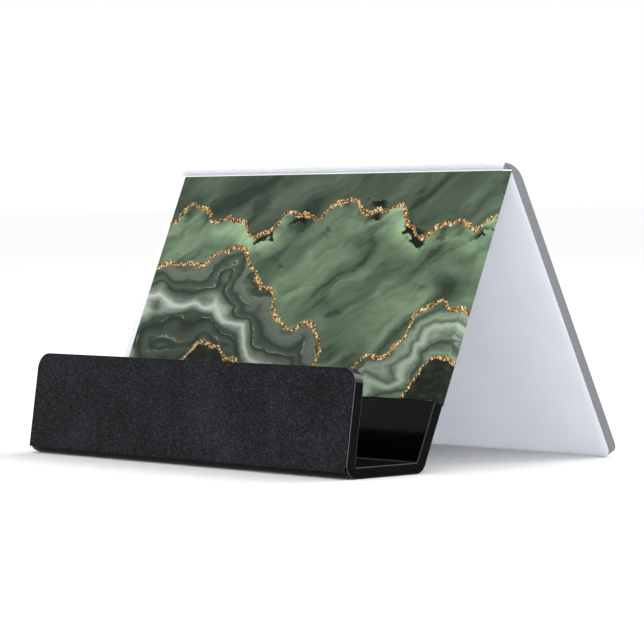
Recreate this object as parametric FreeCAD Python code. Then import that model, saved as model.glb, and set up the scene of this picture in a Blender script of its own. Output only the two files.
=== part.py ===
import FreeCAD, Part
import math
import os

# Desk card holder: a black tray for cards, closed at the back by a folded display panel.
# Millimetres. X runs along the holder, Y towards the rear leg, Z up from the desk.
# The origin is the bottom centre of the whole holder's box.

# Driving dimensions.
WIDTH = 95.0                # the whole holder, from end to end
SHEET = 2.1                 # thickness of the tray's and the panel's sheet
FRONT_LEAN = 8.7            # degrees from upright, top towards the rear: tray's front wall
PANEL_LEAN = 22.8           # degrees: tray's back wall and the panel's front leg
REAR_LEAN = 25.5            # degrees, top towards the front: the panel's rear leg
FRONT_HEIGHT = 19.7         # top of the tray's front wall above the desk
POCKET_FLOOR = 15.0         # front to back inside the tray, between the sharp corners
JOINT_HEIGHT = 13.0         # front edge of the butt joint between tray and panel
FOOT_REACH = 67.5           # from the front wall's foot to the rear leg's foot
FRONT_BEND = 0.4            # inner bend radii
BACK_BEND = 0.3
RIDGE_BEND = 0.4
RIDGE_TOP = 55.9            # height at which the front leg's face ends
RIDGE_FALL = 7.0            # degrees: the ridge's narrow top drops to the rear
RIDGE_NOSE = 0.4            # outer rounding at the front of the ridge
RIDGE_BACK = 5.2            # outer rounding where the ridge runs into the rear leg
WALL_CORNER = 3.1           # rounding of the front wall's two upper corners
FOOT_CORNER = 2.0           # rounding of the foot's two corners

PRINT_FILM = 0.12           # thickness of the printed film
PRINT_TOP = 54.6            # height of the film's upper edge
PRINT_MARGIN = 0.4          # bare strip at the panel's left end
PRINT_OVERLAP = 0.35        # how far the film's folded end hangs below the joint

FACING = 0.15               # thickness of the grained facing on the front wall
FACING_INSET = 0.25         # bare border round the facing
FACING_BOTTOM = 1.3         # the facing starts above the tray's front bend

SPLICE_END_GAP = 4.5        # splice plate and tapes stop short of the holder's ends
SPLICE_HEIGHT = 15.0        # measured up the leaning panel
SPLICE_SHEET = 1.5
TAPE = 0.5                  # thickness of the foam tapes
TAPE_GAP = 1.0              # open seam between the two tapes, along the joint

# The film's folded end lies outside the sheets, so they are that much shorter.
LEFT_END = -WIDTH / 2
RIGHT_END = WIDTH / 2 - PRINT_FILM


def unit(lean):
    """Direction in (y, z) that climbs a sheet with this lean towards the rear."""
    angle = math.radians(lean)
    return math.sin(angle), math.cos(angle)


def step(point, direction, distance):
    """Point in (y, z) this far along a direction."""
    return point[0] + direction[0] * distance, point[1] + direction[1] * distance


def right_hand(direction):
    """Direction turned a quarter turn clockwise in (y, z)."""
    return direction[1], -direction[0]


def point_at(x, point):
    """Point in space over a point in (y, z)."""
    return FreeCAD.Vector(x, point[0], point[1])


def heading(start, end):
    """Unit direction from one point in (y, z) to another."""
    length = math.dist(start, end)
    return (end[0] - start[0]) / length, (end[1] - start[1]) / length


def bent_profile(path, radii, inset, x):
    """Edges of one side of a bent sheet, following the sheet's concave face at a distance.

    path holds the concave face's end points and sharp corners, and every bend turns left.
    The sheet lies to the right of the path, and inset is how deep in it this side runs.
    """
    edges = []
    last = step(path[0], right_hand(heading(path[0], path[1])), inset)
    for before, corner, after, radius in zip(path, path[1:], path[2:], radii):
        arriving = heading(before, corner)
        leaving = heading(corner, after)
        turn = math.acos(arriving[0] * leaving[0] + arriving[1] * leaving[1])
        start = step(corner, arriving, -radius * math.tan(turn / 2))
        centre = step(start, right_hand(arriving), -radius)
        halfway = heading((0, 0), step(right_hand(arriving), right_hand(leaving), 1))
        reach = radius + inset
        arc = [step(centre, way, reach) for way in (right_hand(arriving), halfway, right_hand(leaving))]
        edges.append(Part.LineSegment(point_at(x, last), point_at(x, arc[0])).toShape())
        edges.append(Part.Arc(*[point_at(x, point) for point in arc]).toShape())
        last = arc[2]
    end = step(path[-1], right_hand(heading(path[-2], path[-1])), inset)
    edges.append(Part.LineSegment(point_at(x, last), point_at(x, end)).toShape())
    return edges


def bent_sheet(path, radii):
    """Sheet bent along its concave face, cut square at both edges and at both ends."""
    inner = bent_profile(path, radii, 0, LEFT_END)
    outer = bent_profile(path, radii, SHEET, LEFT_END)
    caps = []
    for index in (0, -1):
        corners = [chain[index].Vertexes[index].Point for chain in (inner, outer)]
        caps.append(Part.LineSegment(*corners).toShape())
    outline = Part.Wire(Part.__sortEdges__(inner + outer + caps))
    return Part.Face(outline).extrude(FreeCAD.Vector(RIGHT_END - LEFT_END, 0, 0))


def round_across(solid, radius, near):
    """Round the edges of the solid that run through the sheet's thickness near a height."""
    chosen = []
    for edge in solid.Edges:
        middle = edge.CenterOfMass
        at_an_end = min(abs(middle.x - LEFT_END), abs(middle.x - RIGHT_END)) < 0.01
        if at_an_end and abs(edge.Length - SHEET) < 0.01 and abs(middle.z - near) < SHEET:
            chosen.append(edge)
    return solid.makeFillet(radius, chosen)


def leaning(shape, foot, lean):
    """Lean an upright shape drawn from (0, 0) in (y, z) back about its foot and move it there."""
    shape.rotate(FreeCAD.Vector(0, 0, 0), FreeCAD.Vector(1, 0, 0), -lean)
    shape.translate(point_at(0, foot))
    return shape


def plate(left, right, front, back, bottom, top):
    """Upright plate between these limits."""
    corner = FreeCAD.Vector(left, front, bottom)
    return Part.makeBox(right - left, back - front, top - bottom, corner)


# Places in (y, z), with y counted from the foot of the front wall's outer face.
front_up = unit(FRONT_LEAN)
panel_up = unit(PANEL_LEAN)
rear_up = unit(-REAR_LEAN)
wall_inside = SHEET / front_up[1]
pocket_front = (wall_inside + SHEET * math.tan(math.radians(FRONT_LEAN)), SHEET)
pocket_back = (pocket_front[0] + POCKET_FLOOR, SHEET)
front_wall_rise = (FRONT_HEIGHT - SHEET * front_up[0] - SHEET) / front_up[1]
pocket_top = step(pocket_front, front_up, front_wall_rise)
joint_front = step(pocket_back, panel_up, (JOINT_HEIGHT - SHEET) / panel_up[1])
joint_rear = step(joint_front, right_hand(panel_up), SHEET)
rear_foot = (FOOT_REACH, 0.0)


def apex():
    """Where the insides of the panel's two legs meet."""
    spread = math.tan(math.radians(PANEL_LEAN)) + math.tan(math.radians(REAR_LEAN))
    front_line = joint_rear[0] - joint_rear[1] * math.tan(math.radians(PANEL_LEAN))
    height = (rear_foot[0] - front_line) / spread
    return front_line + height * math.tan(math.radians(PANEL_LEAN)), height


def card_tray():
    """Front wall, floor and low back wall, bent from one strip of black sheet."""
    tray = bent_sheet([pocket_top, pocket_front, pocket_back, joint_front], [FRONT_BEND, BACK_BEND])
    return round_across(tray, WALL_CORNER, FRONT_HEIGHT)


def ridge_corners():
    """Sharp corners of the ridge's outside: on the front leg's face and on the rear leg's."""
    nose = step(joint_front, panel_up, (RIDGE_TOP - JOINT_HEIGHT) / panel_up[1])
    fall = math.tan(math.radians(RIDGE_FALL))
    slope = math.tan(math.radians(REAR_LEAN))
    outer_foot = step(rear_foot, right_hand(rear_up), SHEET)
    line_at_nose = outer_foot[0] - (nose[1] - outer_foot[1]) * slope
    run = (line_at_nose - nose[0]) / (1 - fall * slope)
    return nose, (nose[0] + run, nose[1] - run * fall)


def round_along(solid, radius, corner):
    """Round the edge of the solid that runs along X through a point in (y, z)."""
    for edge in solid.Edges:
        middle = edge.CenterOfMass
        if edge.Length > WIDTH / 2 and math.dist((middle.y, middle.z), corner) < 0.05:
            return solid.makeFillet(radius, [edge])
    raise ValueError(f"no edge runs along X through {corner}")


def display_panel():
    """White sheet folded over the ridge, from the tray's back wall to the rear foot."""
    outer_foot = step(rear_foot, right_hand(rear_up), SHEET)
    nose, back = ridge_corners()
    corners = [joint_front, nose, back, outer_foot, rear_foot, apex(), joint_rear]
    outline = Part.makePolygon([point_at(LEFT_END, corner) for corner in corners + corners[:1]])
    panel = Part.Face(outline).extrude(FreeCAD.Vector(RIGHT_END - LEFT_END, 0, 0))
    panel = round_along(panel, RIDGE_NOSE, nose)
    panel = round_along(panel, RIDGE_BACK, back)
    panel = round_along(panel, RIDGE_BEND, apex())
    return round_across(panel, FOOT_CORNER, 0.0)


def print_film():
    """Printed film on the panel's front face, folded round its right end."""
    rise = (PRINT_TOP - JOINT_HEIGHT) / panel_up[1]
    face = plate(LEFT_END + PRINT_MARGIN, WIDTH / 2, -PRINT_FILM, 0, 0, rise)
    fold = plate(RIGHT_END, WIDTH / 2, -PRINT_FILM, SHEET, -PRINT_OVERLAP, rise)
    return leaning(face.fuse(fold).removeSplitter(), joint_front, PANEL_LEAN)


def tray_facing():
    """Thin grained facing on the outside of the front wall, with the wall's rounded corners."""
    top = (FRONT_HEIGHT - FACING_INSET) / front_up[1]
    bottom = FACING_BOTTOM / front_up[1]
    facing = plate(LEFT_END + FACING_INSET, RIGHT_END - FACING_INSET, -FACING, 0, bottom, top)
    corners = []
    for edge in facing.Edges:
        if abs(edge.Length - FACING) < 0.01 and edge.CenterOfMass.z > top - FACING_INSET:
            corners.append(edge)
    return leaning(facing.makeFillet(WALL_CORNER - FACING_INSET, corners), (0.0, 0.0), FRONT_LEAN)


def behind_joint(near, far, bottom, top):
    """Plate behind the butt joint, between two depths behind it and two heights about it."""
    left = LEFT_END + SPLICE_END_GAP
    right = RIGHT_END - SPLICE_END_GAP
    return leaning(plate(left, right, near, far, bottom, top), joint_rear, PANEL_LEAN)


def splice_plate():
    """Stiff strip behind the butt joint that ties the panel to the tray's back wall."""
    return behind_joint(TAPE, TAPE + SPLICE_SHEET, -SPLICE_HEIGHT / 2, SPLICE_HEIGHT / 2)


def lower_tape():
    """Foam tape between the splice plate and the tray's back wall."""
    return behind_joint(0, TAPE, -SPLICE_HEIGHT / 2, -TAPE_GAP / 2)


def upper_tape():
    """Foam tape between the splice plate and the panel's front leg."""
    return behind_joint(0, TAPE, TAPE_GAP / 2, SPLICE_HEIGHT / 2)


def main():
    """Build every piece, centre the holder on its box and write one file for each piece."""
    makers = [card_tray, tray_facing, display_panel, print_film, splice_plate, lower_tape, upper_tape]
    pieces = {maker.__name__: maker() for maker in makers}
    front = min(piece.BoundBox.YMin for piece in pieces.values())
    rear = max(piece.BoundBox.YMax for piece in pieces.values())
    os.makedirs("parts", exist_ok=True)
    for name, piece in pieces.items():
        piece.translate(FreeCAD.Vector(0, -(front + rear) / 2, 0))
        piece.exportStep(f"parts/{name}.step")
        box = piece.BoundBox
        sizes = f"{box.XLength:.2f} x {box.YLength:.2f} x {box.ZLength:.2f}"
        print(f"{name}: {sizes} mm, {piece.Volume:.1f} mm3, solids {len(piece.Solids)}")
    print(f"front {front:.3f}, rear {rear:.3f}, whole depth {rear - front:.3f}")


main()
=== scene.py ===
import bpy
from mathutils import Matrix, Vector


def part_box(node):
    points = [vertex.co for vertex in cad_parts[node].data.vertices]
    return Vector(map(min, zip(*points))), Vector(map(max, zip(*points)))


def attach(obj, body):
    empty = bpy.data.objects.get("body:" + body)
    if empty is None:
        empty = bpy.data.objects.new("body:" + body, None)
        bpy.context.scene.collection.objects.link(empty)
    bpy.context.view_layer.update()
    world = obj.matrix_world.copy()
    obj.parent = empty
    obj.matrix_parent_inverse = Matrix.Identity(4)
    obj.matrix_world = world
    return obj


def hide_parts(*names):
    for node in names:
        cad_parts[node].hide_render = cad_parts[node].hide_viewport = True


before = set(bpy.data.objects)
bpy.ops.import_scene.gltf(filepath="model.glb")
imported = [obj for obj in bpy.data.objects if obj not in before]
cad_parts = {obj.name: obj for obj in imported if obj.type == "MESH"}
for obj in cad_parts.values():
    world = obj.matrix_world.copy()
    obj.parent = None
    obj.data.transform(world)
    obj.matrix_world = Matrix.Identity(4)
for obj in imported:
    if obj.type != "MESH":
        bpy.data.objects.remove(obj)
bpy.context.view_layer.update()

import math

import bmesh
import bpy
import numpy as np
from mathutils import Matrix, Vector

# Desk card holder. Metres, in the frame's own axes: X along the holder, Y to the rear, Z up.
MM = 0.001
BODY = "root"

# The shape of the sheets, as the frame's pieces have them.
SHEET = 2.1 * MM
FRONT_LEAN = math.radians(8.7)
PANEL_LEAN = math.radians(22.8)
REAR_LEAN = math.radians(25.5)
FRONT_BEND = 0.4 * MM
BACK_BEND = 0.3 * MM
RIDGE_BEND = 0.4 * MM
RIDGE_TOP = 55.9 * MM       # height at which the front leg's face ends
RIDGE_FALL = math.radians(7.0)
RIDGE_NOSE = 0.4 * MM       # outer roundings at the front and the rear of the ridge
RIDGE_BACK = 5.2 * MM
RIDGE_REACH = 3.6 * MM      # how far the ridge's finer mesh runs down the rear leg
NOSE_REACH = 0.6            # and down the front leg, in millimetres
RIDGE_ROWS = 72
LEG_ROWS = 8
FOOT_CORNER = 2.0 * MM
WALL_CORNER = 3.1 * MM
JOINT_HEIGHT = 13.0 * MM    # front corner of the butt joint between tray and panel
FOOT_REACH = 67.5 * MM      # from the front wall's foot to the rear leg's
RIM = 0.16 * MM             # rounding of the sheets' cut edges
SQUARE_CORNER = 0.3 * MM    # rounding of their square corners
COLUMNS = 25                # points of a sheet's mesh from its left end to its right
FLAT_STEP = 6 * MM          # between its rows of points where it is flat
BEND_STEPS = 10
FILM = 0.12 * MM
FILM_BEND = 0.12 * MM
FILM_CORNER = 0.1 * MM
FILM_RIM = 0.04 * MM
OVERLAP_RUN = 0.1 * MM      # length over which the film's folded end comes down to its overlap
PRINT_TOP = 54.6 * MM       # the film's upper edge
PRINT_OVERLAP = 0.35 * MM   # how far the film's folded end hangs below the joint
PRINT_GRID = 0.36 * MM
FACING = 0.15 * MM
FACING_INSET = 0.25 * MM
FACING_BOTTOM = 1.3 * MM
FACING_RIM = 0.45           # rounding of its edges, as a share of its thickness
TAPE = 0.5 * MM             # foam tape between the sheets and the splice plate
SPLICE_SHEET = 1.5 * MM
SPLICE_HEIGHT = 15.0 * MM   # measured up the leaning panel
SPLICE_CORNER = 1.0 * MM
SPLICE_RIM = 0.25 * MM
SPLICE_STEP = 3 * MM        # between its rows of points
LAYOUT_SIZE = 100.0         # millimetres of the flat drawing that one UV unit spans
DRAWN_FROM = 1.88           # the print leaves a white margin: it starts here, in millimetres,
DRAWN_TO = 44.9             # and stops here
DRAWN_SIDE = 0.06           # half the softness of its left edge and of its upper edge
DRAWN_TOP = 0.05
GOLD_RISE = 0.05 * MM       # height of the glitter ribbons' crowns
GOLD_ROUGH = 0.02 * MM      # unevenness of their grains
GOLD_SINK = 0.03 * MM       # how deep their edges sit in the film

tray_low, tray_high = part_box("card_tray")
panel_low, panel_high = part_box("display_panel")
film_low, film_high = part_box("print_film")
LEFT_END, RIGHT_END = panel_low.x, panel_high.x


# ---------------------------------------------------------------- small geometry tools

def up_along(lean):
    """Direction in (y, z) that climbs a sheet leaning to the rear."""
    return np.array([math.sin(lean), math.cos(lean)])


def right_hand(way):
    """The direction turned a quarter turn clockwise."""
    return np.array([way[1], -way[0]])


def meet(point_a, way_a, point_b, way_b):
    """Where two lines in a plane cross."""
    system = np.array([[way_a[0], -way_b[0]], [way_a[1], -way_b[1]]])
    run = np.linalg.solve(system, np.asarray(point_b) - np.asarray(point_a))
    return np.asarray(point_a) + way_a * run[0]


class Fold:
    """A sheet's bent line. Corners are on its concave face, and every bend turns left."""

    def __init__(self, corners, radii, sheet):
        self.sheet = sheet
        self.parts = []
        self.length = 0.0
        corners = [np.asarray(corner, float) for corner in corners]
        last = corners[0]
        for before, corner, after, radius in zip(corners, corners[1:], corners[2:], radii):
            arriving = (corner - before) / np.linalg.norm(corner - before)
            leaving = (after - corner) / np.linalg.norm(after - corner)
            turn = math.acos(float(arriving @ leaving))
            start = corner - arriving * radius * math.tan(turn / 2)
            self.add_straight(last, start)
            centre = start - right_hand(arriving) * radius
            self.add_bend(centre, right_hand(arriving), turn, radius)
            last = corner + leaving * radius * math.tan(turn / 2)
        self.add_straight(last, corners[-1])

    def add_straight(self, start, end):
        run = float(np.linalg.norm(end - start))
        self.parts.append(("straight", self.length, run, start, (end - start) / run))
        self.length += run

    def add_bend(self, centre, outward, turn, radius):
        run = (radius + self.sheet / 2) * turn
        self.parts.append(("bend", self.length, run, centre, outward, turn, radius))
        self.length += run

    def place(self, along, depth):
        """Point at a distance along the sheet and a depth outward from its concave face."""
        part = self.parts[-1]
        for candidate in self.parts:
            if along <= candidate[1] + candidate[2]:
                part = candidate
                break
        share = along - part[1]
        if part[0] == "straight":
            return part[3] + part[4] * share + right_hand(part[4]) * depth
        angle = share / part[2] * part[5]
        turned = np.array([
            part[4][0] * math.cos(angle) - part[4][1] * math.sin(angle),
            part[4][0] * math.sin(angle) + part[4][1] * math.cos(angle),
        ])
        return part[3] + turned * (part[6] + depth)

    def stations(self, straight_step, bend_steps):
        """Distances along the sheet at which it gets a row of points."""
        rows = [0.0]
        for part in self.parts:
            count = bend_steps if part[0] == "bend" else max(1, math.ceil(part[2] / straight_step))
            rows += [part[1] + part[2] * (step + 1) / count for step in range(count)]
        return rows


class Ruled:
    """A sheet given by matching points on its concave face and on its outer face."""

    def __init__(self, inner, outer, sheet):
        self.inner = np.array(inner)
        self.outer = np.array(outer)
        self.sheet = sheet
        middle = (self.inner + self.outer) / 2
        steps = np.linalg.norm(np.diff(middle, axis=0), axis=1)
        self.rows = [0.0] + list(np.cumsum(steps))
        self.length = self.rows[-1]

    def place(self, along, depth):
        """Point at a distance along the sheet and a depth outward from its concave face."""
        inner, outer = (np.array([np.interp(along, self.rows, side[:, axis]) for axis in (0, 1)])
                        for side in (self.inner, self.outer))
        return inner + (outer - inner) * depth / self.sheet


def rounded_path(corners, radii, steps):
    """Points along a path whose inner corners are rounded."""
    points = [corners[0]]
    for before, corner, after, radius in zip(corners, corners[1:], corners[2:], radii):
        arriving = (corner - before) / np.linalg.norm(corner - before)
        leaving = (after - corner) / np.linalg.norm(after - corner)
        turn = math.acos(float(arriving @ leaving))
        inward = leaving - arriving * math.cos(turn)
        inward = inward / np.linalg.norm(inward)
        start = corner - arriving * radius * math.tan(turn / 2)
        for step in range(steps + 1):
            angle = turn * step / steps
            points.append(start + arriving * radius * math.sin(angle)
                          + inward * radius * (1 - math.cos(angle)))
    points.append(corners[-1])
    return np.array(points)


def evenly(path, count):
    """The same path in this many points at even distances."""
    along = np.concatenate([[0.0], np.cumsum(np.linalg.norm(np.diff(path, axis=0), axis=1))])
    wanted = np.linspace(0.0, along[-1], count)
    return np.stack([np.interp(wanted, along, path[:, axis]) for axis in (0, 1)], axis=1)


def slab(name, fold, left, right, start_corner, end_corner, rim, rows, columns, to_space,
         corner_steps=8, rim_steps=3):
    """A bent sheet with rounded corners and rounded edges, as one closed mesh of quads.

    Rows run across the sheet at distances along the fold, columns run along it from left to
    right. to_space turns (point in the fold's plane, distance across) into a point in space.
    Returns the object and, for every vertex, its (distance along, distance across).
    """
    angles = [math.pi / 2 * step / corner_steps for step in range(corner_steps + 1)]
    middle = [row for row in rows if start_corner < row < fold.length - end_corner]

    def row_edges(inset):
        lines = [(start_corner - (start_corner - inset) * math.cos(angle),
                  start_corner - (start_corner - inset) * math.sin(angle)) for angle in angles]
        lines += [(row, inset) for row in middle]
        lines += [(fold.length - end_corner + (end_corner - inset) * math.cos(angle),
                   end_corner - (end_corner - inset) * math.sin(angle)) for angle in reversed(angles)]
        return lines

    shares = [column / (columns - 1) for column in range(columns)]
    count_rows = 2 * len(angles) + len(middle)
    vertices = []
    sheet_places = []

    def add(along, across, depth):
        vertices.append(to_space(fold.place(along, depth), across))
        sheet_places.append((along, across))
        return len(vertices) - 1

    def add_grid(inset, depth):
        grid = []
        for along, pull in row_edges(inset):
            low, high = left + pull, right - pull
            grid.append([add(along, low + (high - low) * share, depth) for share in shares])
        return grid

    def loop_of(grid):
        loop = list(grid[0])
        loop += [grid[row][-1] for row in range(1, count_rows)]
        loop += list(reversed(grid[-1][:-1]))
        loop += [grid[row][0] for row in range(count_rows - 2, 0, -1)]
        return loop

    def add_loop(inset, depth):
        edges = row_edges(inset)
        loop = []
        for row, share in ring_order:
            along, pull = edges[row]
            low, high = left + pull, right - pull
            loop.append(add(along, low + (high - low) * share, depth))
        return loop

    ring_order = [(0, share) for share in shares]
    ring_order += [(row, 1.0) for row in range(1, count_rows)]
    ring_order += [(count_rows - 1, share) for share in reversed(shares[:-1])]
    ring_order += [(row, 0.0) for row in range(count_rows - 2, 0, -1)]

    thickness = fold.sheet
    outer = add_grid(rim, thickness)
    inner = add_grid(rim, 0.0)
    loops = [loop_of(outer)]
    for step in range(1, rim_steps + 1):
        angle = math.pi / 2 * step / rim_steps
        loops.append(add_loop(rim - rim * math.sin(angle), thickness - rim + rim * math.cos(angle)))
    for step in range(rim_steps, 0, -1):
        angle = math.pi / 2 * step / rim_steps
        loops.append(add_loop(rim - rim * math.sin(angle), rim - rim * math.cos(angle)))
    loops.append(loop_of(inner))

    faces = []
    for grid, flip in ((outer, False), (inner, True)):
        for row in range(count_rows - 1):
            for column in range(columns - 1):
                quad = [grid[row][column], grid[row][column + 1],
                        grid[row + 1][column + 1], grid[row + 1][column]]
                faces.append(quad[::-1] if flip else quad)
    for upper, lower in zip(loops, loops[1:]):
        size = len(upper)
        for index in range(size):
            after = (index + 1) % size
            faces.append([upper[after], upper[index], lower[index], lower[after]])
    return mesh_object(name, vertices, faces), np.array(sheet_places)


def mesh_object(name, vertices, faces, smooth=True):
    """A new mesh object with its normals pointing outward."""
    mesh = bpy.data.meshes.new(name)
    mesh.from_pydata([tuple(map(float, vertex)) for vertex in vertices], [], faces)
    shaped = bmesh.new()
    shaped.from_mesh(mesh)
    bmesh.ops.recalc_face_normals(shaped, faces=shaped.faces)
    shaped.to_mesh(mesh)
    shaped.free()
    mesh.polygons.foreach_set("use_smooth", [smooth] * len(mesh.polygons))
    piece = bpy.data.objects.new(name, mesh)
    bpy.context.scene.collection.objects.link(piece)
    return piece


def keep_flats_flat(piece):
    """Shade the broad faces flat and let only the small edge roundings turn the light."""
    weighted = piece.modifiers.new("flat_faces", "WEIGHTED_NORMAL")
    weighted.weight = 100
    weighted.keep_sharp = True


# ---------------------------------------------------------------- the print's drawing

# A generic agate on the flat film, in millimetres: u from the panel's left end, v up the panel
# from the butt joint. Each gold seam has a few guide points, a mean half width and the reach of
# its wander. The zones lie between the seams. The upper, shelf and hollow seams run on across the
# film's fold, near u = 95.
SEAMS = {
    "upper": ([(-4, 34), (12, 37.5), (28, 33), (46, 37), (64, 38), (82, 33), (104, 39)], 0.44, 1.5),
    "agate": ([(-4, 27), (8, 24.5), (19, 28), (31, 27), (38, 20.5), (44, 15), (54, 13), (60, 6), (62, -4)],
              0.48, 1.3),
    "mound": ([(13, -4), (19, 6), (29, 8.5), (37, 4), (40, -4)], 0.40, 1.0),
    "shelf": ([(66, -4), (71, 5), (78, 9.5), (86, 17), (93, 19), (104, 15)], 0.42, 1.3),
    "hollow": ([(84, -4), (87, 3.5), (94, 8), (104, 7)], 0.34, 0.8),
}
WANDER_LENGTHS = (17.0, 7.3, 3.1, 1.4)    # millimetres between the crests of a seam's wander
WANDER_FALL = 1.4                         # how quickly the shorter waves get weaker
FIRST_SEAM_SEED = 20
GRAIN_SEED = 7
BAND_SPREAD = 26.0                        # millimetres of the agate that its row of shades covers
ZONE_EDGE = 0.08                          # half the softness of a zone's edge, in millimetres
OFF_FILM = (-9.0, -9.0, 108.0, 60.0)      # left, below, right and top of a frame round the film
RIBBON_STEP = 0.16                        # millimetres between a ribbon's rows of points
EDGE_ROUGH = 0.20                         # unevenness of a ribbon's edges, as a share of its width
GRAIN_SHIFT = 0.03                        # millimetres that its grains lie out of line
SLOW_SWELL = 0.25                         # how far its width swells and thins, as shares
QUICK_SWELL = 0.18
SLOW_TURNS = (0.02, 0.12)                 # radians that each swell advances from row to row
QUICK_TURNS = (0.05, 0.5)
RIBBON_POINTS = 7                         # across a ribbon's top
RIBBON_FOOT = 0.02                        # millimetres of film left clear below the ribbons
RIBBON_MARGIN = 0.05                      # and above them and at the folded end


def smooth_path(points, step=0.25):
    """Points at even parameter steps on a Catmull-Rom curve through the given ones."""
    points = np.asarray(points, float)
    padded = np.vstack([2 * points[0] - points[1], points, 2 * points[-1] - points[-2]])
    result = [points[0]]
    for before, start, end, after in zip(padded, padded[1:], padded[2:], padded[3:]):
        pieces = max(2, math.ceil(np.linalg.norm(end - start) / step))
        for index in range(1, pieces + 1):
            t = index / pieces
            result.append(0.5 * (2 * start + (end - before) * t
                                 + (2 * before - 5 * start + 4 * end - after) * t ** 2
                                 + (3 * start - before - 3 * end + after) * t ** 3))
    return np.array(result)


def seam_path(name):
    """A seam's guide curve, pushed sideways by waves of seeded phase."""
    guides, _, reach = SEAMS[name]
    rng = np.random.default_rng(list(SEAMS).index(name) + FIRST_SEAM_SEED)
    path = smooth_path(guides)
    ways = np.gradient(path, axis=0)
    ways /= np.linalg.norm(ways, axis=1)[:, None]
    along = np.concatenate([[0.0], np.cumsum(np.linalg.norm(np.diff(path, axis=0), axis=1))])
    push = np.zeros(len(path))
    for length in WANDER_LENGTHS:
        stretch = length * rng.uniform(0.85, 1.15)
        strength = reach * (length / WANDER_LENGTHS[0]) ** WANDER_FALL
        push += strength * np.sin(along / stretch * 2 * math.pi + rng.uniform(0, 2 * math.pi))
    return path + np.stack([-ways[:, 1], ways[:, 0]], axis=1) * push[:, None]


def distance_to(path, places):
    """Distance from each place to an open path."""
    nearest = np.full(len(places), 1e9)
    for start, end in zip(path, path[1:]):
        way = end - start
        offset = places - start
        share = np.clip((offset @ way) / max(float(way @ way), 1e-12), 0, 1)
        nearest = np.minimum(nearest, np.linalg.norm(offset - share[:, None] * way, axis=1))
    return nearest


def inside_distance(outline, places):
    """Distance from a closed outline, positive inside it and negative outside."""
    closed = np.vstack([outline, outline[:1]])
    crossings = np.zeros(len(places), int)
    for start, end in zip(closed, closed[1:]):
        spans = (start[1] > places[:, 1]) != (end[1] > places[:, 1])
        rise = end[1] - start[1] if end[1] != start[1] else 1e-12
        meets = start[0] + (places[:, 1] - start[1]) / rise * (end[0] - start[0])
        crossings += spans & (places[:, 0] < meets)
    side = np.where(crossings % 2 == 1, 1.0, -1.0)
    return side * distance_to(closed, places)


def zone_outlines():
    """Closed outlines of the drawing's zones: a seam, and corners off the film."""
    left, below, right, top = OFF_FILM
    upper, agate, mound, shelf, hollow = (seam_path(name) for name in SEAMS)
    return {
        "in_top": np.vstack([upper, [(right, top), (left, top)]]),
        "in_agate": np.vstack([agate, [(agate[-1][0], below), (left, below), (left, agate[0][1])]]),
        "in_mound": np.vstack([mound, [(mound[-1][0], below), (mound[0][0], below)]]),
        "in_shelf": np.vstack([shelf, [(right, shelf[-1][1]), (right, below), (shelf[0][0], below)]]),
        "in_hollow": np.vstack([hollow, [(right, hollow[-1][1]), (right, below), (hollow[0][0], below)]]),
    }


def draw_on_film(piece, flat_places):
    """Store each zone's inward distance on the film's vertices, and its flat layout as a UV map."""
    mesh = piece.data
    for name, outline in zone_outlines().items():
        layer = mesh.attributes.new(name, "FLOAT", "POINT")
        layer.data.foreach_set("value", inside_distance(outline, flat_places).astype(np.float32))
    corners = np.empty(len(mesh.loops), int)
    mesh.loops.foreach_get("vertex_index", corners)
    layout = mesh.uv_layers.new(name="flat_layout")
    layout.data.foreach_set("uv", (flat_places[corners] / LAYOUT_SIZE).astype(np.float32).ravel())


# ---------------------------------------------------------------- the sheets' outlines

front_up = up_along(FRONT_LEAN)
panel_up = up_along(PANEL_LEAN)
rear_up = up_along(-REAR_LEAN)
panel_rearward = right_hand(panel_up)

# The tray's front bend touches the front of the tray's box, and its underside is at z = 0.
front_corner_gap = FRONT_BEND * math.tan((math.pi / 2 - FRONT_LEAN) / 2)
pocket_front = np.array([tray_low.y + FRONT_BEND + SHEET - front_corner_gap, SHEET])
wall_rise = (tray_high.z - SHEET * front_up[0] - SHEET) / front_up[1]
pocket_top = pocket_front + front_up * wall_rise
wall_foot = np.array([pocket_front[0] - SHEET / front_up[1] - SHEET * math.tan(FRONT_LEAN), 0.0])

# The tray's back wall ends at the butt joint, whose rear corner is the rearmost point of its box.
joint_front = np.array([tray_high.y - SHEET * panel_rearward[0], JOINT_HEIGHT])
joint_rear = joint_front + panel_rearward * SHEET
pocket_back = joint_front - panel_up * ((JOINT_HEIGHT - SHEET) / panel_up[1])
rear_foot = wall_foot + np.array([FOOT_REACH, 0.0])
apex = meet(joint_rear, panel_up, rear_foot, rear_up)

# The ridge's outside is not parallel to its inside: it has these two corners.
ridge_nose = joint_front + panel_up * ((RIDGE_TOP - JOINT_HEIGHT) / panel_up[1])
ridge_back = meet(ridge_nose, np.array([math.cos(RIDGE_FALL), -math.sin(RIDGE_FALL)]),
                  rear_foot + right_hand(rear_up) * SHEET, rear_up)


def across_x(point, across):
    """A sheet drawn in (y, z) and drawn out along X."""
    return across, point[0], point[1]


def up_the_panel(point, across):
    """A sheet drawn in (x, depth behind the panel's face) and drawn out up the panel."""
    base = joint_front + panel_up * across + panel_rearward * point[1]
    return point[0], base[0], base[1]


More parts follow.
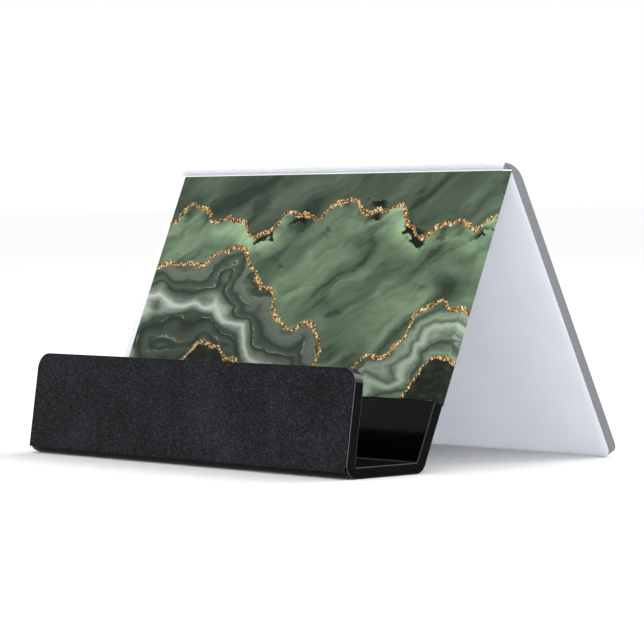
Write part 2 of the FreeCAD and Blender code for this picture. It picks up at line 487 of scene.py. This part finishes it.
def add_gold_seams(fold, film_left_mm, film_height_mm):
    """Raised ribbons of glitter along the seams, closed below and sunk a little into the film."""
    rng = np.random.default_rng(GRAIN_SEED)
    shares = np.linspace(-1, 1, RIBBON_POINTS)
    vertices, faces = [], []
    u_high = film_left_mm + fold.length / MM - RIBBON_MARGIN
    for name, (_, mean_width, _) in SEAMS.items():
        path = smooth_path(seam_path(name), RIBBON_STEP)
        kept = (path[:, 1] > RIBBON_FOOT) & (path[:, 1] < film_height_mm - RIBBON_MARGIN)
        kept &= (path[:, 0] > DRAWN_FROM) & (path[:, 0] < u_high)
        path = path[kept]
        ways = np.gradient(path, axis=0)
        ways /= np.linalg.norm(ways, axis=1)[:, None]
        sides = np.stack([-ways[:, 1], ways[:, 0]], axis=1)
        rough = 1 + rng.normal(0, EDGE_ROUGH, (len(path), 2))
        swell = 1 + SLOW_SWELL * np.sin(np.cumsum(rng.uniform(*SLOW_TURNS, len(path))))
        swell += QUICK_SWELL * np.sin(np.cumsum(rng.uniform(*QUICK_TURNS, len(path))))
        first = len(vertices)
        ring = len(shares) + 2
        for index, (u, v) in enumerate(path):
            reach = mean_width * swell[index]
            for share in shares:
                width = reach * rough[index, 0 if share < 0 else 1]
                inner = abs(share) < 0.99
                jitter = rng.normal(0, GRAIN_SHIFT, 2) * inner
                place = np.array([u, v]) + sides[index] * share * width + jitter
                height = GOLD_RISE * (1 - share ** 2) + abs(rng.normal(0, GOLD_ROUGH)) * inner
                vertices.append(seam_point(fold, film_left_mm, film_height_mm, place, height))
            for share in (1, -1):
                width = reach * rough[index, 0 if share < 0 else 1]
                place = np.array([u, v]) + sides[index] * share * width
                vertices.append(seam_point(fold, film_left_mm, film_height_mm, place, -GOLD_SINK))
        for index in range(len(path) - 1):
            start = first + index * ring
            for step in range(ring):
                after = (step + 1) % ring
                faces.append([start + step, start + after, start + ring + after, start + ring + step])
        last = first + (len(path) - 1) * ring
        faces.append([first + step for step in reversed(range(ring))])
        faces.append([last + step for step in range(ring)])
    return mesh_object("gold_seams", vertices, faces, smooth=False)


def seam_point(fold, film_left_mm, film_height_mm, place, height):
    """Point over the film at a place in its flat layout, kept within the film's edges."""
    along = min(max((place[0] - film_left_mm) * MM, 0.0), fold.length)
    across = min(max(place[1], 0.0), film_height_mm) * MM
    return up_the_panel(fold.place(along, FILM + height), across)


def add_card_tray():
    fold = Fold([pocket_top, pocket_front, pocket_back, joint_front], [FRONT_BEND, BACK_BEND], SHEET)
    rows = fold.stations(FLAT_STEP, BEND_STEPS)
    tray, _ = slab("card_tray_sheet", fold, LEFT_END, RIGHT_END, WALL_CORNER, SQUARE_CORNER, RIM,
                   rows, COLUMNS, across_x)
    keep_flats_flat(tray)
    return tray


def add_tray_facing():
    low = wall_foot + front_up * (FACING_BOTTOM / front_up[1])
    high = wall_foot + front_up * ((tray_high.z - FACING_INSET) / front_up[1])
    fold = Fold([high, low], [], FACING)
    rows = fold.stations(FLAT_STEP, 1)
    facing, _ = slab("tray_facing_skin", fold, LEFT_END + FACING_INSET, RIGHT_END - FACING_INSET,
                     WALL_CORNER - FACING_INSET, SQUARE_CORNER, FACING * FACING_RIM, rows, COLUMNS,
                     across_x)
    keep_flats_flat(facing)
    return facing


def add_splice_plate():
    low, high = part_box("splice_plate")
    middle = joint_rear + panel_rearward * TAPE
    half = panel_up * SPLICE_HEIGHT / 2
    fold = Fold([middle - half, middle + half], [], SPLICE_SHEET)
    plate, _ = slab("splice_plate_strip", fold, low.x, high.x, SPLICE_CORNER, SPLICE_CORNER, SPLICE_RIM,
                    fold.stations(SPLICE_STEP, 1), COLUMNS, across_x)
    keep_flats_flat(plate)
    return plate


def panel_outline():
    """The panel from its rear foot over the ridge to the joint."""
    outer_start = ridge_back - rear_up * RIDGE_REACH
    outer_end = ridge_nose - panel_up * NOSE_REACH * MM
    inner_start = outer_start - right_hand(rear_up) * SHEET
    inner_end = outer_end + panel_rearward * SHEET
    outer_foot = rear_foot + right_hand(rear_up) * SHEET
    inner_ridge = evenly(rounded_path([inner_start, apex, inner_end], [RIDGE_BEND], 10), RIDGE_ROWS)
    outer_ridge = evenly(rounded_path([outer_start, ridge_back, ridge_nose, outer_end],
                                      [RIDGE_BACK, RIDGE_NOSE], 24), RIDGE_ROWS)
    inner = [*np.linspace(rear_foot, inner_start, LEG_ROWS)[:-1], *inner_ridge,
             *np.linspace(inner_end, joint_rear, LEG_ROWS)[1:]]
    outer = [*np.linspace(outer_foot, outer_start, LEG_ROWS)[:-1], *outer_ridge,
             *np.linspace(outer_end, joint_front, LEG_ROWS)[1:]]
    return Ruled(inner, outer, SHEET)


def add_display_panel():
    outline = panel_outline()
    panel, _ = slab("display_panel_sheet", outline, LEFT_END, RIGHT_END, FOOT_CORNER, SQUARE_CORNER,
                    RIM, outline.rows, COLUMNS, across_x)
    keep_flats_flat(panel)
    return panel


def add_print_film():
    film_left = film_low.x
    height = (PRINT_TOP - JOINT_HEIGHT) / panel_up[1]
    fold = Fold([(film_left, 0.0), (RIGHT_END, 0.0), (RIGHT_END, SHEET)], [FILM_BEND], FILM)
    rows = fold.stations(PRINT_GRID, 6)
    columns = math.ceil(height / PRINT_GRID) + 1

    def round_the_end(point, across):
        share = min(max(point[1] / OVERLAP_RUN, 0.0), 1.0)
        climb = across / height
        level = max(point[1], 0.0) * math.tan(PANEL_LEAN) * climb
        return up_the_panel(point, across + level - PRINT_OVERLAP * share * (1 - climb))

    film, places = slab("print_film_layer", fold, 0.0, height, FILM_CORNER, FILM_CORNER, FILM_RIM,
                        rows, columns, round_the_end, corner_steps=2, rim_steps=2)
    keep_flats_flat(film)
    draw_on_film(film, places / MM + np.array([(film_left - LEFT_END) / MM, 0.0]))
    return film, add_gold_seams(fold, (film_left - LEFT_END) / MM, height / MM)


# ---------------------------------------------------------------- material tools

def tone(red, green, blue):
    """A colour given as display values from 0 to 255, for the shaders."""
    def linear(value):
        value = value / 255
        return value / 12.92 if value <= 0.04045 else ((value + 0.055) / 1.055) ** 2.4
    return linear(red), linear(green), linear(blue), 1.0


class Value:
    """A number or colour that varies over a surface: one output socket of a node tree."""

    def __init__(self, paint, socket):
        self.paint = paint
        self.socket = socket

    def __add__(self, other):
        return self.paint.maths("ADD", self, other)

    def __sub__(self, other):
        return self.paint.maths("SUBTRACT", self, other)

    def __mul__(self, other):
        return self.paint.maths("MULTIPLY", self, other)

    def size(self):
        return self.paint.maths("ABSOLUTE", self, 0.0)

    def fraction(self):
        return self.paint.maths("FRACT", self, 0.0)

    def rise(self, low, high):
        """0 at low, 1 at high, with smooth ends. low may be the greater one."""
        node = self.paint.node("ShaderNodeMapRange", interpolation_type="SMOOTHSTEP")
        self.paint.feed(node.inputs["Value"], self)
        node.inputs["From Min"].default_value = min(low, high)
        node.inputs["From Max"].default_value = max(low, high)
        node.inputs["To Min"].default_value = 0.0 if low < high else 1.0
        node.inputs["To Max"].default_value = 1.0 if low < high else 0.0
        return Value(self.paint, node.outputs["Result"])

    def peak(self, centre, half_width):
        """1 where the value is at centre, falling to 0 half_width away."""
        return (self - centre).size().rise(half_width, 0.0)


class Paint:
    """A new material with one Principled shader, and short calls that add nodes to it."""

    def __init__(self, name, **sockets):
        self.material = bpy.data.materials.new(name)
        self.material.use_nodes = True
        self.tree = self.material.node_tree
        self.shader = self.tree.nodes["Principled BSDF"]
        for socket, value in sockets.items():
            self.shader.inputs[socket.replace("_", " ")].default_value = value

    def node(self, kind, **settings):
        made = self.tree.nodes.new(kind)
        for setting, value in settings.items():
            setattr(made, setting, value)
        return made

    def feed(self, socket, value):
        if isinstance(value, Value):
            self.tree.links.new(value.socket, socket)
        else:
            socket.default_value = value

    def maths(self, operation, first, second):
        node = self.node("ShaderNodeMath", operation=operation)
        self.feed(node.inputs[0], first)
        self.feed(node.inputs[1], second)
        return Value(self, node.outputs[0])

    def field(self, name):
        """A number stored on the mesh's points."""
        node = self.node("ShaderNodeAttribute", attribute_name=name)
        return Value(self, node.outputs["Fac"])

    def layout(self):
        """Place on the flat film, in millimetres."""
        node = self.node("ShaderNodeUVMap", uv_map="flat_layout")
        return self.stretch(Value(self, node.outputs["UV"]), LAYOUT_SIZE, LAYOUT_SIZE, 1)

    def space(self):
        """Place in the frame, in millimetres."""
        node = self.node("ShaderNodeTexCoord")
        return self.stretch(Value(self, node.outputs["Object"]), 1 / MM, 1 / MM, 1 / MM)

    def stretch(self, vector, x, y, z=1.0):
        node = self.node("ShaderNodeVectorMath", operation="MULTIPLY")
        self.feed(node.inputs[0], vector)
        node.inputs[1].default_value = (x, y, z)
        return Value(self, node.outputs["Vector"])

    def shift(self, vector, by):
        node = self.node("ShaderNodeVectorMath", operation="ADD")
        self.feed(node.inputs[0], vector)
        self.feed(node.inputs[1], by)
        return Value(self, node.outputs["Vector"])

    def parts(self, vector):
        node = self.node("ShaderNodeSeparateXYZ")
        self.feed(node.inputs[0], vector)
        return [Value(self, output) for output in node.outputs]

    def join(self, x, y, z=0.0):
        node = self.node("ShaderNodeCombineXYZ")
        for socket, value in zip(node.inputs, (x, y, z)):
            self.feed(socket, value)
        return Value(self, node.outputs[0])

    def noise(self, at, scale=1.0, detail=4.0, roughness=0.55, distortion=0.0, colour=False):
        node = self.node("ShaderNodeTexNoise")
        self.feed(node.inputs["Vector"], at)
        node.inputs["Scale"].default_value = scale
        node.inputs["Detail"].default_value = detail
        node.inputs["Roughness"].default_value = roughness
        node.inputs["Distortion"].default_value = distortion
        return Value(self, node.outputs["Color" if colour else "Fac"])

    def cells(self, at, scale, output="Color"):
        node = self.node("ShaderNodeTexVoronoi")
        self.feed(node.inputs["Vector"], at)
        node.inputs["Scale"].default_value = scale
        return Value(self, node.outputs[output])

    def ramp(self, value, stops):
        """Colour along a value: stops are (position from 0 to 1, colour)."""
        node = self.node("ShaderNodeValToRGB")
        self.feed(node.inputs[0], value)
        elements = node.color_ramp.elements
        elements[0].position, elements[0].color = stops[0]
        elements[1].position, elements[1].color = stops[-1]
        for position, colour in stops[1:-1]:
            elements.new(position).color = colour
        return Value(self, node.outputs["Color"])

    def mix(self, share, under, over, blend="MIX"):
        node = self.node("ShaderNodeMix", data_type="RGBA", blend_type=blend)
        self.feed(node.inputs[0], share)
        self.feed(node.inputs[6], under)
        self.feed(node.inputs[7], over)
        return Value(self, node.outputs[2])

    def wander(self, vector, scale, reach, detail=3.0):
        """The vector moved about by smooth noise, by up to about half of reach each way."""
        drift = self.noise(vector, scale, detail, colour=True)
        centred = self.shift(drift, (-0.5, -0.5, -0.5))
        return self.shift(vector, self.stretch(centred, reach, reach, 0))

    def bump(self, height, strength, distance):
        node = self.node("ShaderNodeBump")
        node.inputs["Strength"].default_value = strength
        node.inputs["Distance"].default_value = distance
        self.feed(node.inputs["Height"], height)
        self.tree.links.new(node.outputs["Normal"], self.shader.inputs["Normal"])

    def colour(self, value):
        self.feed(self.shader.inputs["Base Color"], value)


# ---------------------------------------------------------------- materials of the sheets

def tray_black():
    """Polished black acrylic with a few fine specks of dust."""
    paint = Paint("tray_black", Roughness=0.12, Specular_IOR_Level=0.07)
    place = paint.space()
    cloud = paint.noise(place, 0.25, 3)
    dust = paint.cells(place, 0.9, "Distance").rise(0.09, 0.02)
    base = paint.ramp(cloud, [(0.35, tone(2, 2, 3)), (0.65, tone(6, 6, 8))])
    paint.colour(paint.mix(dust * 0.5, base, tone(50, 52, 56)))
    paint.bump(paint.noise(place, 0.35, 2), 0.15, 0.02 * MM)
    return paint.material


def tray_edge():
    """The tray sheet's cut ends: black, slightly rougher than the faces."""
    paint = Paint("tray_edge", Roughness=0.32, Specular_IOR_Level=0.05)
    place = paint.space()
    saw = paint.noise(paint.stretch(place, 1, 1, 5), 1.2, 3)
    paint.colour(paint.ramp(saw, [(0.3, tone(2, 2, 4)), (0.7, tone(9, 9, 12))]))
    paint.bump(saw, 0.2, 0.03 * MM)
    return paint.material


def tray_rim():
    """The small roundings between the tray's faces and its ends, glossier than both, and painted lighter
    than the black faces: a painted highlight along the edges.
    """
    paint = Paint("tray_rim", Roughness=0.22, Specular_IOR_Level=0.6)
    painted_rim_highlight = paint.noise(paint.space(), 0.8, 3)
    # Lighter greys than the black faces, varied by noise: a painted highlight on the roundings.
    paint.colour(paint.ramp(painted_rim_highlight, [(0.35, tone(8, 8, 10)), (0.65, tone(24, 25, 28))]))
    return paint.material


def facing_black():
    """Matte black vinyl with a fine grain and pale specks."""
    paint = Paint("facing_black", Roughness=0.62, Specular_IOR_Level=0.06)
    place = paint.space()
    grain = paint.noise(place, 2.6, 4, 0.7)
    weave = paint.noise(paint.stretch(place, 1.5, 1, 3.4), 1.5, 2, 0.6)
    patch = paint.noise(place, 0.08, 3)
    mixed = grain * 0.62 + weave * 0.26 + patch * 0.2
    base = paint.ramp(mixed, [(0.42, tone(9, 10, 12)), (0.54, tone(25, 26, 29)), (0.66, tone(50, 51, 56))])
    chance = paint.parts(paint.cells(place, 2.4))[0].rise(0.55, 0.90)
    fleck = paint.cells(place, 2.4, "Distance").rise(0.45, 0.15) * chance
    paint.colour(paint.mix(fleck * 0.55, base, tone(80, 82, 88)))
    paint.bump(grain, 0.5, 0.06 * MM)
    return paint.material


def panel_white():
    """Satin opal acrylic sheet: white, and lets a little light through."""
    paint = Paint("panel_white", Roughness=0.45, Specular_IOR_Level=0.12,
                  Subsurface_Weight=1.0, Subsurface_Scale=9.0 * MM,
                  Subsurface_Radius=(1.0, 1.0, 1.0))
    place = paint.space()
    cloud = paint.noise(place, 0.06, 3)
    paint.colour(paint.ramp(cloud, [(0.3, tone(189, 193, 200)), (0.7, tone(194, 198, 205))]))
    paint.bump(paint.noise(place, 0.5, 3), 0.1, 0.02 * MM)
    return paint.material


def panel_edge():
    """The white sheet's sawn ends: greyer than its faces, partly the cut edge's own colour and partly
    painted shade for ends that face away from the light, with the saw's fine lines.
    """
    paint = Paint("panel_edge", Roughness=0.55, Specular_IOR_Level=0.3)
    place = paint.space()
    saw = paint.noise(paint.stretch(place, 1, 1.0, 6.0), 1.1, 3)
    # Mid greys: partly the cut edge's colour, partly painted shade on the sideways-facing ends.
    paint.colour(paint.ramp(saw, [(0.3, tone(112, 114, 118)), (0.7, tone(124, 126, 130))]))
    paint.bump(saw, 0.25, 0.03 * MM)
    return paint.material


def splice_white():
    """Plain white plastic strip with faint extrusion lines."""
    paint = Paint("splice_white", Roughness=0.5)
    lines = paint.noise(paint.stretch(paint.space(), 0.05, 3, 3), 1.0, 3)
    paint.colour(paint.ramp(lines, [(0.3, tone(196, 197, 199)), (0.7, tone(212, 213, 214))]))
    paint.bump(lines, 0.2, 0.03 * MM)
    return paint.material


def tape_foam():
    """Pale foam with small pores."""
    paint = Paint("tape_foam", Roughness=0.85, Specular_IOR_Level=0.2)
    pores = paint.cells(paint.space(), 5.0, "Distance")
    paint.colour(paint.ramp(pores, [(0.1, tone(170, 170, 166)), (0.6, tone(208, 208, 203))]))
    paint.bump(pores, 0.6, 0.08 * MM)
    return paint.material


# ---------------------------------------------------------------- the print's material

def print_agate():
    """Green agate in drifts and bands, worked out from each place's distance inside the zones."""
    paint = Paint("print_agate", Roughness=0.4, Specular_IOR_Level=0.06)
    flat = paint.layout()
    u, v, _ = paint.parts(flat)
    fine = paint.noise(flat, 1.6, 5, 0.62)
    drift = paint.wander(flat, 0.12, 5.0)
    mottle = paint.noise(paint.stretch(drift, 0.35, 0.7), 1.0, 5, 0.6)

    colour = green_drifts(paint, flat, drift, mottle)
    agate = banded(paint, flat, fine, paint.field("in_agate"), AGATE_SHADES)
    colour = paint.mix(paint.field("in_agate").rise(-ZONE_EDGE, ZONE_EDGE), colour, agate)
    shelf = banded(paint, flat, fine, paint.field("in_shelf"), SHELF_SHADES)
    colour = paint.mix(paint.field("in_shelf").rise(-ZONE_EDGE, ZONE_EDGE), colour, shelf)
    dark = paint.ramp(mottle, [(0.38, tone(25, 29, 25)), (0.52, tone(34, 40, 33)),
                               (0.66, tone(50, 60, 46))])
    for zone in ("in_mound", "in_hollow"):
        colour = paint.mix(paint.field(zone).rise(-ZONE_EDGE, ZONE_EDGE), colour, dark)

    grain = paint.noise(flat, 5.0, 3)
    grey = paint.ramp(grain, [(0.3, tone(90, 90, 90)), (0.7, tone(166, 166, 166))])
    colour = paint.mix(0.12, colour, grey, "OVERLAY")
    drawn_across = u.rise(DRAWN_FROM - DRAWN_SIDE, DRAWN_FROM + DRAWN_SIDE)
    drawn = drawn_across * v.rise(DRAWN_TO + DRAWN_TOP, DRAWN_TO - DRAWN_TOP)
    paint.colour(paint.mix(drawn, tone(240, 243, 245), colour))
    paint.bump(fine, 0.08, 0.02 * MM)
    return paint.material


def green_drifts(paint, flat, drift, mottle):
    """The plain green zones: misty drifts, light under the upper seam, dark pockets along it."""
    across, up, _ = paint.parts(drift)
    slant = paint.join(across * 0.045 + up * 0.03, up * 0.13 - across * 0.075)
    smoke = paint.noise(slant, 1.0, 4, 0.45, 0.9)
    streaks = paint.noise(paint.stretch(slant, 2.4, 7.0), 1.0, 4, 0.55)
    misty = smoke * 0.80 + mottle * 0.08 + streaks * 0.12
    top = paint.ramp(misty, [(0.36, tone(46, 56, 47)), (0.46, tone(64, 77, 64)),
                             (0.55, tone(76, 91, 75)), (0.66, tone(94, 110, 91))])
    middle = paint.ramp(misty, [(0.36, tone(48, 60, 48)), (0.45, tone(76, 93, 74)),
                                (0.55, tone(95, 115, 91)), (0.66, tone(120, 142, 113))])
    above = paint.field("in_top")
    lit = above.rise(-6.5, -0.5) * paint.noise(paint.stretch(drift, 0.05, 0.10), 1.0, 3).rise(0.42, 0.62)
    middle = paint.mix(lit * (streaks * 0.8 + 0.45), middle, tone(164, 194, 152))
    colour = paint.mix(above.rise(-ZONE_EDGE, ZONE_EDGE), middle, top)
    smudge = paint.noise(paint.stretch(paint.wander(flat, 0.3, 2.0), 0.14, 0.20), 1.0, 3).rise(0.62, 0.74)
    colour = paint.mix(smudge * 0.65, colour, tone(36, 45, 37))
    ragged = above.size() * -1.0 + (mottle - 0.5) * 11.0 + 1.9
    rare = paint.noise(paint.stretch(flat, 0.055, 0.055), 1.0, 2).rise(0.52, 0.58)
    return paint.mix(ragged.rise(0.0, 0.35) * rare, colour, tone(18, 23, 19))


AGATE_SHADES = [
    (0.02, tone(112, 124, 110)), (0.09, tone(58, 70, 57)), (0.15, tone(88, 102, 87)),
    (0.19, tone(54, 66, 54)), (0.27, tone(132, 145, 130)), (0.33, tone(204, 213, 202)),
    (0.37, tone(176, 187, 174)), (0.45, tone(80, 93, 79)), (0.52, tone(46, 57, 46)),
    (0.59, tone(84, 97, 83)), (0.65, tone(54, 66, 54)), (0.73, tone(106, 119, 105)),
    (0.80, tone(60, 72, 60)), (0.92, tone(78, 90, 77)),
]
SHELF_SHADES = [
    (0.02, tone(84, 99, 83)), (0.08, tone(158, 176, 153)), (0.13, tone(96, 112, 94)),
    (0.19, tone(190, 205, 186)), (0.25, tone(120, 137, 117)), (0.32, tone(70, 84, 70)),
    (0.41, tone(148, 166, 144)), (0.52, tone(88, 103, 87)), (0.66, tone(132, 149, 129)),
    (0.85, tone(74, 88, 74)),
]


def banded(paint, flat, fine, depth, shades):
    """Bands that follow a zone's edge inwards, folded by noise and combed along their run."""
    swept = paint.wander(flat, 0.07, 9.0)
    folds = (paint.noise(paint.stretch(swept, 0.035, 0.08), 1.0, 2) - 0.5) * 24.0
    ripples = (paint.noise(paint.stretch(swept, 0.09, 0.36), 1.0, 4) - 0.5) * 3.4
    band = (depth + folds + ripples + (fine - 0.5) * 0.35) * (1.0 / BAND_SPREAD)
    colour = paint.ramp(band.size(), shades)
    hair = paint.noise(paint.join(band * 34.0, depth * 0.05), 1.0, 4, 0.68)
    combed = paint.ramp(hair, [(0.3, tone(78, 78, 78)), (0.7, tone(178, 178, 178))])
    colour = paint.mix(0.42, colour, combed, "OVERLAY")
    line = (band * 9.0 + (fine - 0.5) * 0.25).fraction().peak(0.5, 0.08)
    broken = paint.noise(paint.stretch(flat, 0.12, 0.3), 1.0, 3).rise(0.48, 0.60)
    return paint.mix(line * broken * 0.45, colour, tone(180, 192, 178))


def gold_glitter():
    """Packed glitter grains: each cell its own shade, from dark copper to pale gold."""
    paint = Paint("gold_glitter", Roughness=0.42, Metallic=0.3, Specular_IOR_Level=0.3)
    place = paint.space()
    grain = paint.parts(paint.cells(place, 3.0))[0]
    spark = paint.parts(paint.cells(place, 4.4))[1]
    shade = grain * 0.65 + spark * 0.35
    paint.colour(paint.ramp(shade, [
        (0.20, tone(40, 27, 11)), (0.36, tone(86, 57, 20)), (0.48, tone(134, 92, 36)),
        (0.60, tone(172, 127, 58)), (0.73, tone(212, 176, 110)), (0.86, tone(255, 238, 198)),
    ]))
    return paint.material


# ---------------------------------------------------------------- the pieces

def finish_piece(piece, material, slot, *nodes):
    piece.data.materials.append(material)
    if nodes:
        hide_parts(*nodes)
    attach(piece, BODY)


def give_turned(piece, material, least, most):
    """A further material on the faces whose normals have an X part between the two values."""
    piece.data.materials.append(material)
    for face in piece.data.polygons:
        if least < abs(face.normal.x) <= most:
            face.material_index = len(piece.data.materials) - 1


def cover_node(node, material):
    """A material of its own for a frame piece that stays as it is."""
    piece = bpy.data.objects[node]
    piece.data.materials.clear()
    piece.data.materials.append(material)


ANY_TURN = 1.01             # above the X part of any normal
TRAY_END_TURN = 0.97        # above it a tray face is a cut end, and below it a rounding
TRAY_RIM_TURN = 0.10
PANEL_END_TURN = 0.5

tray = add_card_tray()
finish_piece(tray, tray_black(), "tray_gloss_black", "card_tray")
give_turned(tray, tray_edge(), TRAY_END_TURN, ANY_TURN)
give_turned(tray, tray_rim(), TRAY_RIM_TURN, TRAY_END_TURN)
finish_piece(add_tray_facing(), facing_black(), "facing_grained_black", "tray_facing")
panel = add_display_panel()
finish_piece(panel, panel_white(), "panel_white", "display_panel")
# The panel's ends get the greyer colour, which is partly painted shade.
give_turned(panel, panel_edge(), PANEL_END_TURN, ANY_TURN)
finish_piece(add_splice_plate(), splice_white(), "splice_white", "splice_plate")
foam = tape_foam()
for tape in ("lower_tape", "upper_tape"):
    cover_node(tape, foam)
film, gold = add_print_film()
finish_piece(film, print_agate(), "print_green_agate", "print_film")
finish_piece(gold, gold_glitter(), "print_green_agate")


# ---------------------------------------------------------------- floor, light and camera

FLOOR_REACH = 12.0
CAMERA_PLACE = (0.46468, -0.40244, 0.04904)
CAMERA_AZIMUTH = math.radians(48.99)
CAMERA_ELEVATION = math.radians(2.17)
CAMERA_ROLL = math.radians(-0.61)
CAMERA_LENS = 177.3         # millimetres, on a sensor 36 mm wide

# Soft area lights: name, place, target, size in metres and power in watts.
LIGHTS = [
    ("key", (-0.5, -0.9, 0.9), (0, 0, 0.03), 0.7, 0.1),
    ("rear_soft", (0.1, 0.9, 0.8), (0, 0, 0.02), 1.0, 7.0),
    ("low_fill", (0.62, -0.48, 0.07), (0.02, 0.01, 0.025), 0.35, 2.5),
]


def add_floor():
    mesh = bpy.data.meshes.new("floor")
    corners = [(x * FLOOR_REACH, y * FLOOR_REACH, 0) for x, y in ((-1, -1), (1, -1), (1, 1), (-1, 1))]
    mesh.from_pydata(corners, [], [(0, 1, 2, 3)])
    floor = bpy.data.objects.new("floor", mesh)
    bpy.context.scene.collection.objects.link(floor)
    paint = Paint("floor_pale", Base_Color=(0.97, 0.97, 0.97, 1.0), Roughness=0.9, Specular_IOR_Level=0.1)
    floor.data.materials.append(paint.material)


def add_area_light(name, place, target, size, power):
    light = bpy.data.lights.new(name, "AREA")
    light.shape = "SQUARE"
    light.size = size
    light.energy = power
    lamp = bpy.data.objects.new(name, light)
    lamp.location = place
    lamp.rotation_mode = "QUATERNION"
    lamp.rotation_quaternion = (Vector(target) - Vector(place)).to_track_quat("-Z", "Y")
    bpy.context.scene.collection.objects.link(lamp)


def add_world():
    world = bpy.data.worlds.new("studio")
    world.use_nodes = True
    background = world.node_tree.nodes["Background"]
    background.inputs["Color"].default_value = (1.0, 1.0, 1.0, 1.0)
    background.inputs["Strength"].default_value = 1.0
    bpy.context.scene.world = world


def add_camera():
    level_share = math.cos(CAMERA_ELEVATION)
    back = Vector((math.sin(CAMERA_AZIMUTH) * level_share,
                   -math.cos(CAMERA_AZIMUTH) * level_share, math.sin(CAMERA_ELEVATION)))
    level = Vector((0, 0, 1)).cross(back).normalized()
    above = back.cross(level)
    right = level * math.cos(CAMERA_ROLL) + above * math.sin(CAMERA_ROLL)
    up = above * math.cos(CAMERA_ROLL) - level * math.sin(CAMERA_ROLL)
    data = bpy.data.cameras.new("camera")
    data.sensor_width = 36.0
    data.lens = CAMERA_LENS
    data.clip_start = 0.01
    data.clip_end = 50.0
    camera = bpy.data.objects.new("camera", data)
    turned = Matrix((right, up, back)).transposed().to_4x4()
    camera.matrix_world = Matrix.Translation(CAMERA_PLACE) @ turned
    bpy.context.scene.collection.objects.link(camera)
    bpy.context.scene.camera = camera


add_floor()
add_world()
for light in LIGHTS:
    add_area_light(*light)
add_camera()
bpy.context.scene.view_settings.view_transform = "Standard"
